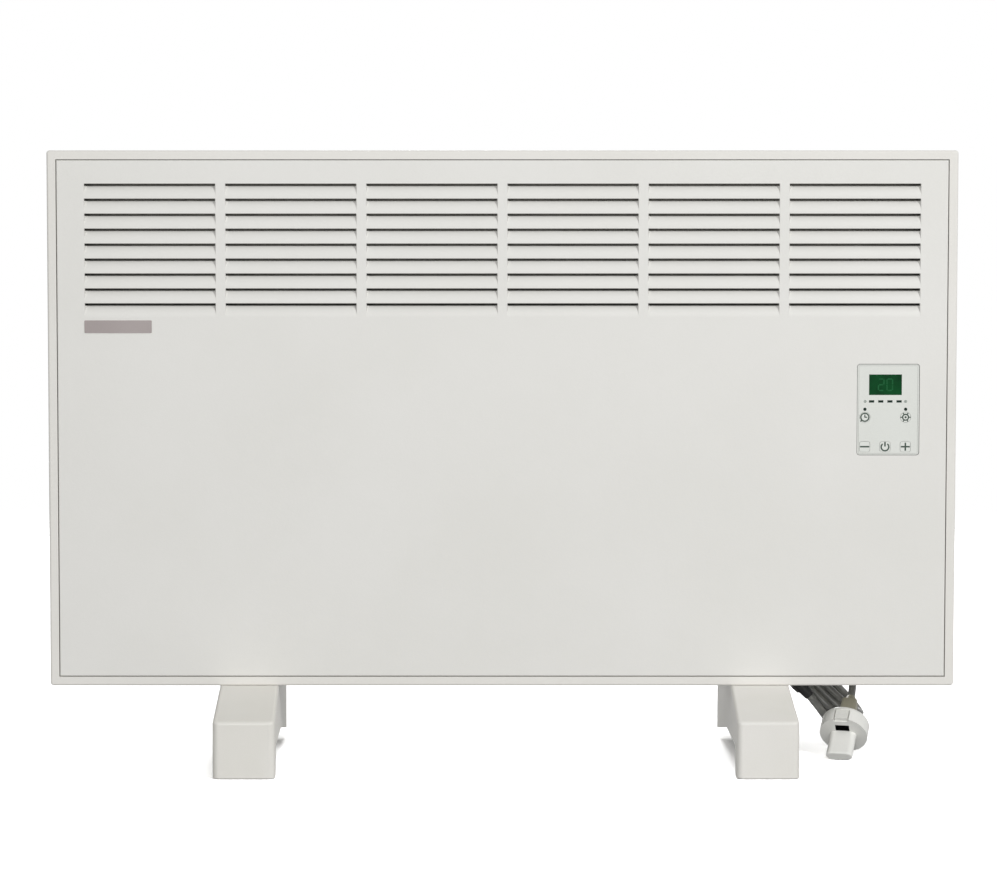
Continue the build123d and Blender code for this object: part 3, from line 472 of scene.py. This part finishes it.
# the inside of the slot in the plug's face is painted near black: painted shade
plug_plastic = moulded("plug_moulding", srgb(242, 242, 238), srgb(231, 231, 226),
                       rough=0.34, grain=1300.0, depth=0.00004, gloss=0.1, painted_shade_mask=plug_slot_painted_shade)
grip_plastic = moulded("grip_moulding", srgb(196, 192, 172), srgb(172, 168, 148), rough=0.5)
plate_foil = moulded("plate_foil", srgb(158, 148, 146), srgb(142, 131, 129),
                     rough=0.34, grain=3000.0, depth=0.00001)
ceramic = moulded("ceramic_body", srgb(228, 224, 212), srgb(206, 200, 186), rough=0.6, grain=900.0)
steel = plain_metal("zinc_plated_steel", srgb(196, 196, 192), srgb(160, 161, 158))
dark_steel = plain_metal("spring_steel", srgb(120, 120, 118), srgb(86, 86, 85), rough=0.4)
fin_metal = plain_metal("extruded_aluminium", srgb(214, 214, 212), srgb(184, 184, 182),
                        rough=0.34, stretch=(1.0, 40.0, 40.0))
guide_steel = plain_metal("dull_galvanised_steel", srgb(138, 136, 130), srgb(112, 110, 105),
                          rough=0.5, stretch=(30.0, 1.0, 1.0), metal=0.4)
nickel = plain_metal("nickel_plate", srgb(224, 222, 214), srgb(196, 193, 184),
                     rough=0.22, stretch=(30.0, 1.0, 1.0))
strip_metal = plain_metal("satin_earth_strip", srgb(242, 242, 238), srgb(228, 228, 222),
                          rough=0.5, metal=0.2)
brass = plain_metal("turned_brass", srgb(214, 182, 104), srgb(170, 138, 70), rough=0.26)
black_rubber = rubbery("black_rubber", srgb(52, 52, 52), srgb(26, 26, 26), rough=0.7)
sheath = rubbery("lead_sheath", srgb(160, 160, 155), srgb(120, 120, 117), rough=0.34, grain=700.0)
wire_sleeve = rubbery("silicone_sleeve", srgb(150, 46, 38), srgb(112, 30, 26), rough=0.45)
board_green = circuit("circuit_board")
display_glass = smoked("display_window", srgb(2, 72, 32), srgb(1, 54, 24), rough=0.08)
pipe_glass = smoked("light_pipe", srgb(40, 54, 47), srgb(24, 36, 31), rough=0.2)
green_ink = inked("dark_green_ink", srgb(34, 58, 44), srgb(22, 44, 32))
pale_ink = inked("pale_green_ink", srgb(82, 100, 88), srgb(66, 84, 74))
figure_light = inked("figure_light", srgb(12, 90, 46), srgb(6, 78, 38),
                     scale=300.0, uneven=0.2, rough=0.3, specular_ior_level=0.15)

NODE_FINISH = {
    "casing_shell": casing_paint, "rear_cover": cover_paint, "cover_screws": steel,
    "front_panel": panel_paint, "panel_clips": dark_steel, "nameplate": plate_foil,
    "control_bezel": bezel_plastic, "control_fascia": fascia_plastic,
    "display_window": display_glass, "display_module": black_plastic,
    "level_lights": pipe_glass, "indicator_lights": pipe_glass,
    "key_minus": key_plastic, "key_power": key_plastic, "key_plus": key_plastic,
    "key_timer": key_plastic, "key_mode": key_plastic, "control_board": board_green,
    "key_switches": black_plastic, "control_housing": grey_plastic,
    "foot_left": foot_plastic, "foot_right": foot_plastic, "foot_pads": black_rubber,
    "foot_buffers": black_rubber, "foot_screws": steel, "foot_nuts": steel,
    "heating_element": fin_metal, "element_bracket_left": steel,
    "element_bracket_right": steel, "element_insulators": ceramic,
    "element_terminals": brass, "air_guide": guide_steel, "air_guide_right": guide_steel,
    "overheat_cutout": black_plastic, "room_sensor": black_plastic,
    "board_standoffs": cream_plastic, "power_board": board_green,
    "power_parts": black_plastic, "terminal_block": cream_plastic,
    "earth_stud": steel, "earth_nut": brass, "internal_wires": wire_sleeve,
    "cord_gland": black_plastic, "gland_nut": black_plastic, "cord_tail": sheath,
    "cord_lead_in": sheath, "cord_hank": sheath, "cord_lead_out": sheath,
    "cord_tie": black_plastic, "plug_body": plug_plastic, "plug_grip": grip_plastic,
    "plug_pins": nickel, "plug_earth_strips": strip_metal, "plug_cap": plug_plastic,
}
for node_name, node in nodes.items():
    for slot in node.material_slots:
        slot.material = NODE_FINISH[node_name]

lead.data.materials.append(sheath)
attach(lead, "root")
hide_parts("cord_lead_in", "cord_hank", "cord_lead_out")

# ---------------------------------------------------------------- prints on the control unit
PRINT_THICK = 0.00006
# what lies across another print stands this much further out
PRINT_OVERLAP = 0.00001
UPRIGHT = math.radians(90.0)


def raise_print():
    """Gives the flat shape in edit mode a thickness towards the front and closes its back."""
    bpy.ops.mesh.select_all(action="SELECT")
    bpy.ops.mesh.extrude_region_move(TRANSFORM_OT_translate={"value": (0.0, -PRINT_THICK, 0.0)})
    bpy.ops.mesh.select_all(action="SELECT")
    bpy.ops.mesh.normals_make_consistent(inside=False)
    bpy.ops.object.mode_set(mode="OBJECT")


def flat_bar(x, y, z, wide, tall, turn=0.0):
    """A thin printed bar, its middle at x and z on the surface at depth y."""
    bpy.ops.mesh.primitive_plane_add(size=1.0, location=(x, y, z), rotation=(UPRIGHT, turn, 0.0))
    piece = bpy.context.object
    piece.scale = (wide, tall, 1.0)
    bpy.ops.object.transform_apply(location=True, rotation=True, scale=True)
    bpy.ops.object.mode_set(mode="EDIT")
    raise_print()
    return piece


def flat_ring(x, y, z, outer, inner, sides=40, gap=0.0):
    """A thin printed ring, or a disc where inner is 0, open by gap degrees each side of its top."""
    bpy.ops.mesh.primitive_circle_add(vertices=sides, radius=outer, fill_type="NGON",
                                      location=(x, y, z), rotation=(UPRIGHT, 0.0, 0.0))
    piece = bpy.context.object
    bpy.ops.object.transform_apply(location=True, rotation=True, scale=True)
    bpy.ops.object.mode_set(mode="EDIT")
    bpy.ops.mesh.select_all(action="SELECT")
    if inner:
        bpy.ops.mesh.inset(thickness=outer - inner, depth=0.0)
        bpy.ops.mesh.delete(type="FACE")
    if gap:
        for face in bmesh.from_edit_mesh(piece.data).faces:
            middle = face.calc_center_median()
            face.select = abs(math.degrees(math.atan2(middle.x - x, middle.z - z))) <= gap
        bmesh.update_edit_mesh(piece.data)
        bpy.ops.mesh.delete(type="FACE")
    raise_print()
    return piece


def print_piece(name, parts, material, body):
    """Several flat shapes as one named piece of a material, which rides on a body."""
    piece = parts[0]
    if len(parts) > 1:
        bpy.ops.object.select_all(action="DESELECT")
        for part in parts:
            part.select_set(True)
        bpy.context.view_layer.objects.active = piece
        bpy.ops.object.join()
    piece.name = name
    piece.data.name = name
    piece.data.materials.append(material)
    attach(piece, body)


def box_middle(box):
    return [(low + high) / 2 for low, high in zip(*box)]


MINUS_X, _, ROW_Z = box_middle(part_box("key_minus"))
PLUS_X = box_middle(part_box("key_plus"))[0]
POWER_X = (MINUS_X + PLUS_X) / 2
SIDE_Z = box_middle(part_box("key_timer"))[2]
FACE_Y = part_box("key_minus")[0].y
STROKE = 1.3 * MM
COG_TEETH = 6
COG_RADIUS = 3.6 * MM


def minus_sign():
    return [flat_bar(MINUS_X, FACE_Y, ROW_Z, 7.8 * MM, STROKE)]


def plus_sign():
    return [flat_bar(PLUS_X, FACE_Y, ROW_Z, 7.6 * MM, STROKE),
            flat_bar(PLUS_X, FACE_Y - PRINT_OVERLAP, ROW_Z, STROKE, 6.8 * MM)]


def power_sign():
    """A ring open at its top, with a stroke in the opening."""
    return [flat_ring(POWER_X, FACE_Y, ROW_Z - 0.2 * MM, 3.8 * MM, 2.6 * MM, 48, 34.0),
            flat_bar(POWER_X, FACE_Y, ROW_Z + 2.1 * MM, STROKE, 3.8 * MM)]


def timer_sign():
    """A clock with two hands, and a short stroke at its lower left."""
    return [flat_ring(MINUS_X, FACE_Y, SIDE_Z, 3.9 * MM, 2.8 * MM),
            flat_bar(MINUS_X, FACE_Y, SIDE_Z + 1.0 * MM, 0.9 * MM, 2.6 * MM),
            flat_bar(MINUS_X + 0.9 * MM, FACE_Y, SIDE_Z, 2.1 * MM, 0.9 * MM),
            flat_bar(MINUS_X - 3.1 * MM, FACE_Y, SIDE_Z - 3.1 * MM, 1.6 * MM, 1.0 * MM,
                     math.radians(-45.0))]


def mode_sign():
    """A cog round a small hub."""
    shapes = [flat_ring(PLUS_X, FACE_Y, SIDE_Z, 3.0 * MM, 1.9 * MM),
              flat_ring(PLUS_X, FACE_Y, SIDE_Z, 0.9 * MM, 0.0, 20)]
    for tooth in range(COG_TEETH):
        angle = math.radians(360.0 / COG_TEETH * (tooth + 0.5))
        x = PLUS_X + COG_RADIUS * math.sin(angle)
        z = SIDE_Z + COG_RADIUS * math.cos(angle)
        shapes.append(flat_bar(x, FACE_Y, z, 0.9 * MM, 1.3 * MM, angle))
    return shapes


KEY_SIGNS = {"minus": minus_sign, "plus": plus_sign, "power": power_sign, "timer": timer_sign,
             "mode": mode_sign}
for key_name, draw_sign in KEY_SIGNS.items():
    print_piece("print_" + key_name, draw_sign(), green_ink, "key_" + key_name)

WINDOW_X, _, WINDOW_Z = box_middle(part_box("display_window"))
WINDOW_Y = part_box("display_window")[0].y
# the strokes of a figure: top, upper left, upper right, middle, lower left, lower right, bottom,
# each in half widths and half heights from the middle. Those at 0 across lie level.
FIGURE_STROKES = ((0.0, 1.0), (-1.0, 0.5), (1.0, 0.5), (0.0, 0.0), (-1.0, -0.5), (1.0, -0.5),
                  (0.0, -1.0))
# which of those strokes each figure has
FIGURES = {"2": (1, 0, 1, 1, 1, 0, 1), "0": (1, 1, 1, 0, 1, 1, 1)}
FIGURE_WIDE = 4.6 * MM
FIGURE_TALL = 9.6 * MM
FIGURE_STROKE = 1.1 * MM
FIGURE_ASIDE = 3.6 * MM


def figure(sign, x):
    """One seven-stroke figure in the window, its middle at x."""
    half_wide, half_tall = FIGURE_WIDE / 2, FIGURE_TALL / 2
    parts = []
    for shown, (across, up) in zip(FIGURES[sign], FIGURE_STROKES):
        if across:
            size = (FIGURE_STROKE, half_tall - FIGURE_STROKE * 0.6)
        else:
            size = (FIGURE_WIDE - FIGURE_STROKE, FIGURE_STROKE)
        if shown:
            place = (x + across * half_wide, WINDOW_Y, WINDOW_Z + up * half_tall)
            parts.append(flat_bar(*place, *size))
    return parts


figures = figure("2", WINDOW_X - FIGURE_ASIDE) + figure("0", WINDOW_X + FIGURE_ASIDE)
print_piece("display_figures", figures, figure_light, "root")

# the pale marks at both ends of the row of bars: three strokes each, all in millimetres
SCALE_RISE = 0.8
SCALE_WIDE = 2.6
SCALE_TALL = 0.45
SCALE_INWARD = 0.2
BAR_Z = box_middle(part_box("level_lights"))[2]
bar_marks = []
for end_x, inward in ((MINUS_X, 1.0), (PLUS_X, -1.0)):
    for rise in (-SCALE_RISE, 0.0, SCALE_RISE):
        mark_x = end_x + inward * SCALE_INWARD * MM
        mark_wide = (SCALE_WIDE - abs(rise)) * MM
        bar_marks.append(flat_bar(mark_x, FACE_Y, BAR_Z + rise * MM, mark_wide, SCALE_TALL * MM))
print_piece("print_scale", bar_marks, pale_ink, "root")

# ---------------------------------------------------------------- floor, backdrop and lights
FLOOR_RADIUS = 4.0
FLOOR_SIDES = 128
# over white to the camera, so that only shadows show, and grey to the light that it throws back
FLOOR_SEEN = (2.5, 2.5, 2.5)
FLOOR_LIT = (0.45, 0.45, 0.45)
# how much of the seen floor shows in glossy surfaces
FLOOR_GLOSSY = 0.3
# distances from the middle between which the floor fades away
FLOOR_FADE = (1.0, 2.6)

bpy.ops.mesh.primitive_circle_add(vertices=FLOOR_SIDES, radius=FLOOR_RADIUS, fill_type="NGON",
                                  location=(0, 0, 0))
floor = bpy.context.object
floor.name = "floor"
ground = Finish("floor_paper", roughness=0.9, specular_ior_level=0.1)
seen = ground.ray("Camera").calc("MAXIMUM", ground.ray("Glossy") * FLOOR_GLOSSY)
seen = seen.calc("MAXIMUM", ground.ray("Transmission"))
ground.set("Base Color", ground.blend(seen, FLOOR_LIT, FLOOR_SEEN))
reach = ground.node("ShaderNodeVectorMath", {"operation": "LENGTH"}, (ground.place,), "Value")
paper = Wire(ground, ground.shader.outputs[0])
clear = ground.node("ShaderNodeBsdfTransparent", {}, {})
faded = ground.node("ShaderNodeMixShader", {}, (reach.step(*FLOOR_FADE), paper, clear))
ground.link(faded, ground.tree.nodes["Material Output"].inputs["Surface"])
floor.data.materials.append(ground.material)

WORLD_STRENGTH = 0.27
WHITE = (1.0, 1.0, 1.0, 1.0)
world = bpy.data.worlds.new("studio")
world.use_nodes = True
bpy.context.scene.world = world
sky = Graph(world.node_tree)
ambient = sky.tree.nodes["Background"]
ambient.inputs["Color"].default_value = WHITE
ambient.inputs["Strength"].default_value = WORLD_STRENGTH
backdrop = sky.node("ShaderNodeBackground", {}, {"Color": WHITE, "Strength": 1.0})
open_view = sky.ray("Camera").calc("MAXIMUM", sky.ray("Glossy"))
open_view = open_view.calc("MAXIMUM", sky.ray("Transmission"))
both = sky.node("ShaderNodeMixShader", {}, (open_view, Wire(sky, ambient.outputs[0]), backdrop))
sky.link(both, sky.tree.nodes["World Output"].inputs["Surface"])


def softbox(name, place, aim, wide, tall, watts):
    """A rectangular studio light that points at aim."""
    data = bpy.data.lights.new(name, "AREA")
    data.shape = "RECTANGLE"
    data.size = wide
    data.size_y = tall
    data.energy = watts
    lamp = bpy.data.objects.new(name, data)
    lamp.location = place
    lamp.rotation_euler = (Vector(aim) - Vector(place)).to_track_quat("-Z", "Y").to_euler()
    bpy.context.scene.collection.objects.link(lamp)


# name, place, what it points at, width, height, watts
LIGHTS = (
    ("key_light", (2.1, -3.0, 2.2), (0.0, 0.0, 0.30), 0.7, 0.7, 73.0),
    ("back_light", (0.0, 3.5, 1.3), (0.0, 0.0, 0.25), 0.5, 0.8, 68.0),
    ("fill_light", (-0.3, -3.9, 1.0), (0.0, 0.0, 0.25), 0.9, 1.4, 46.0),
)
for light in LIGHTS:
    softbox(*light)

bpy.context.scene.view_settings.view_transform = "Standard"
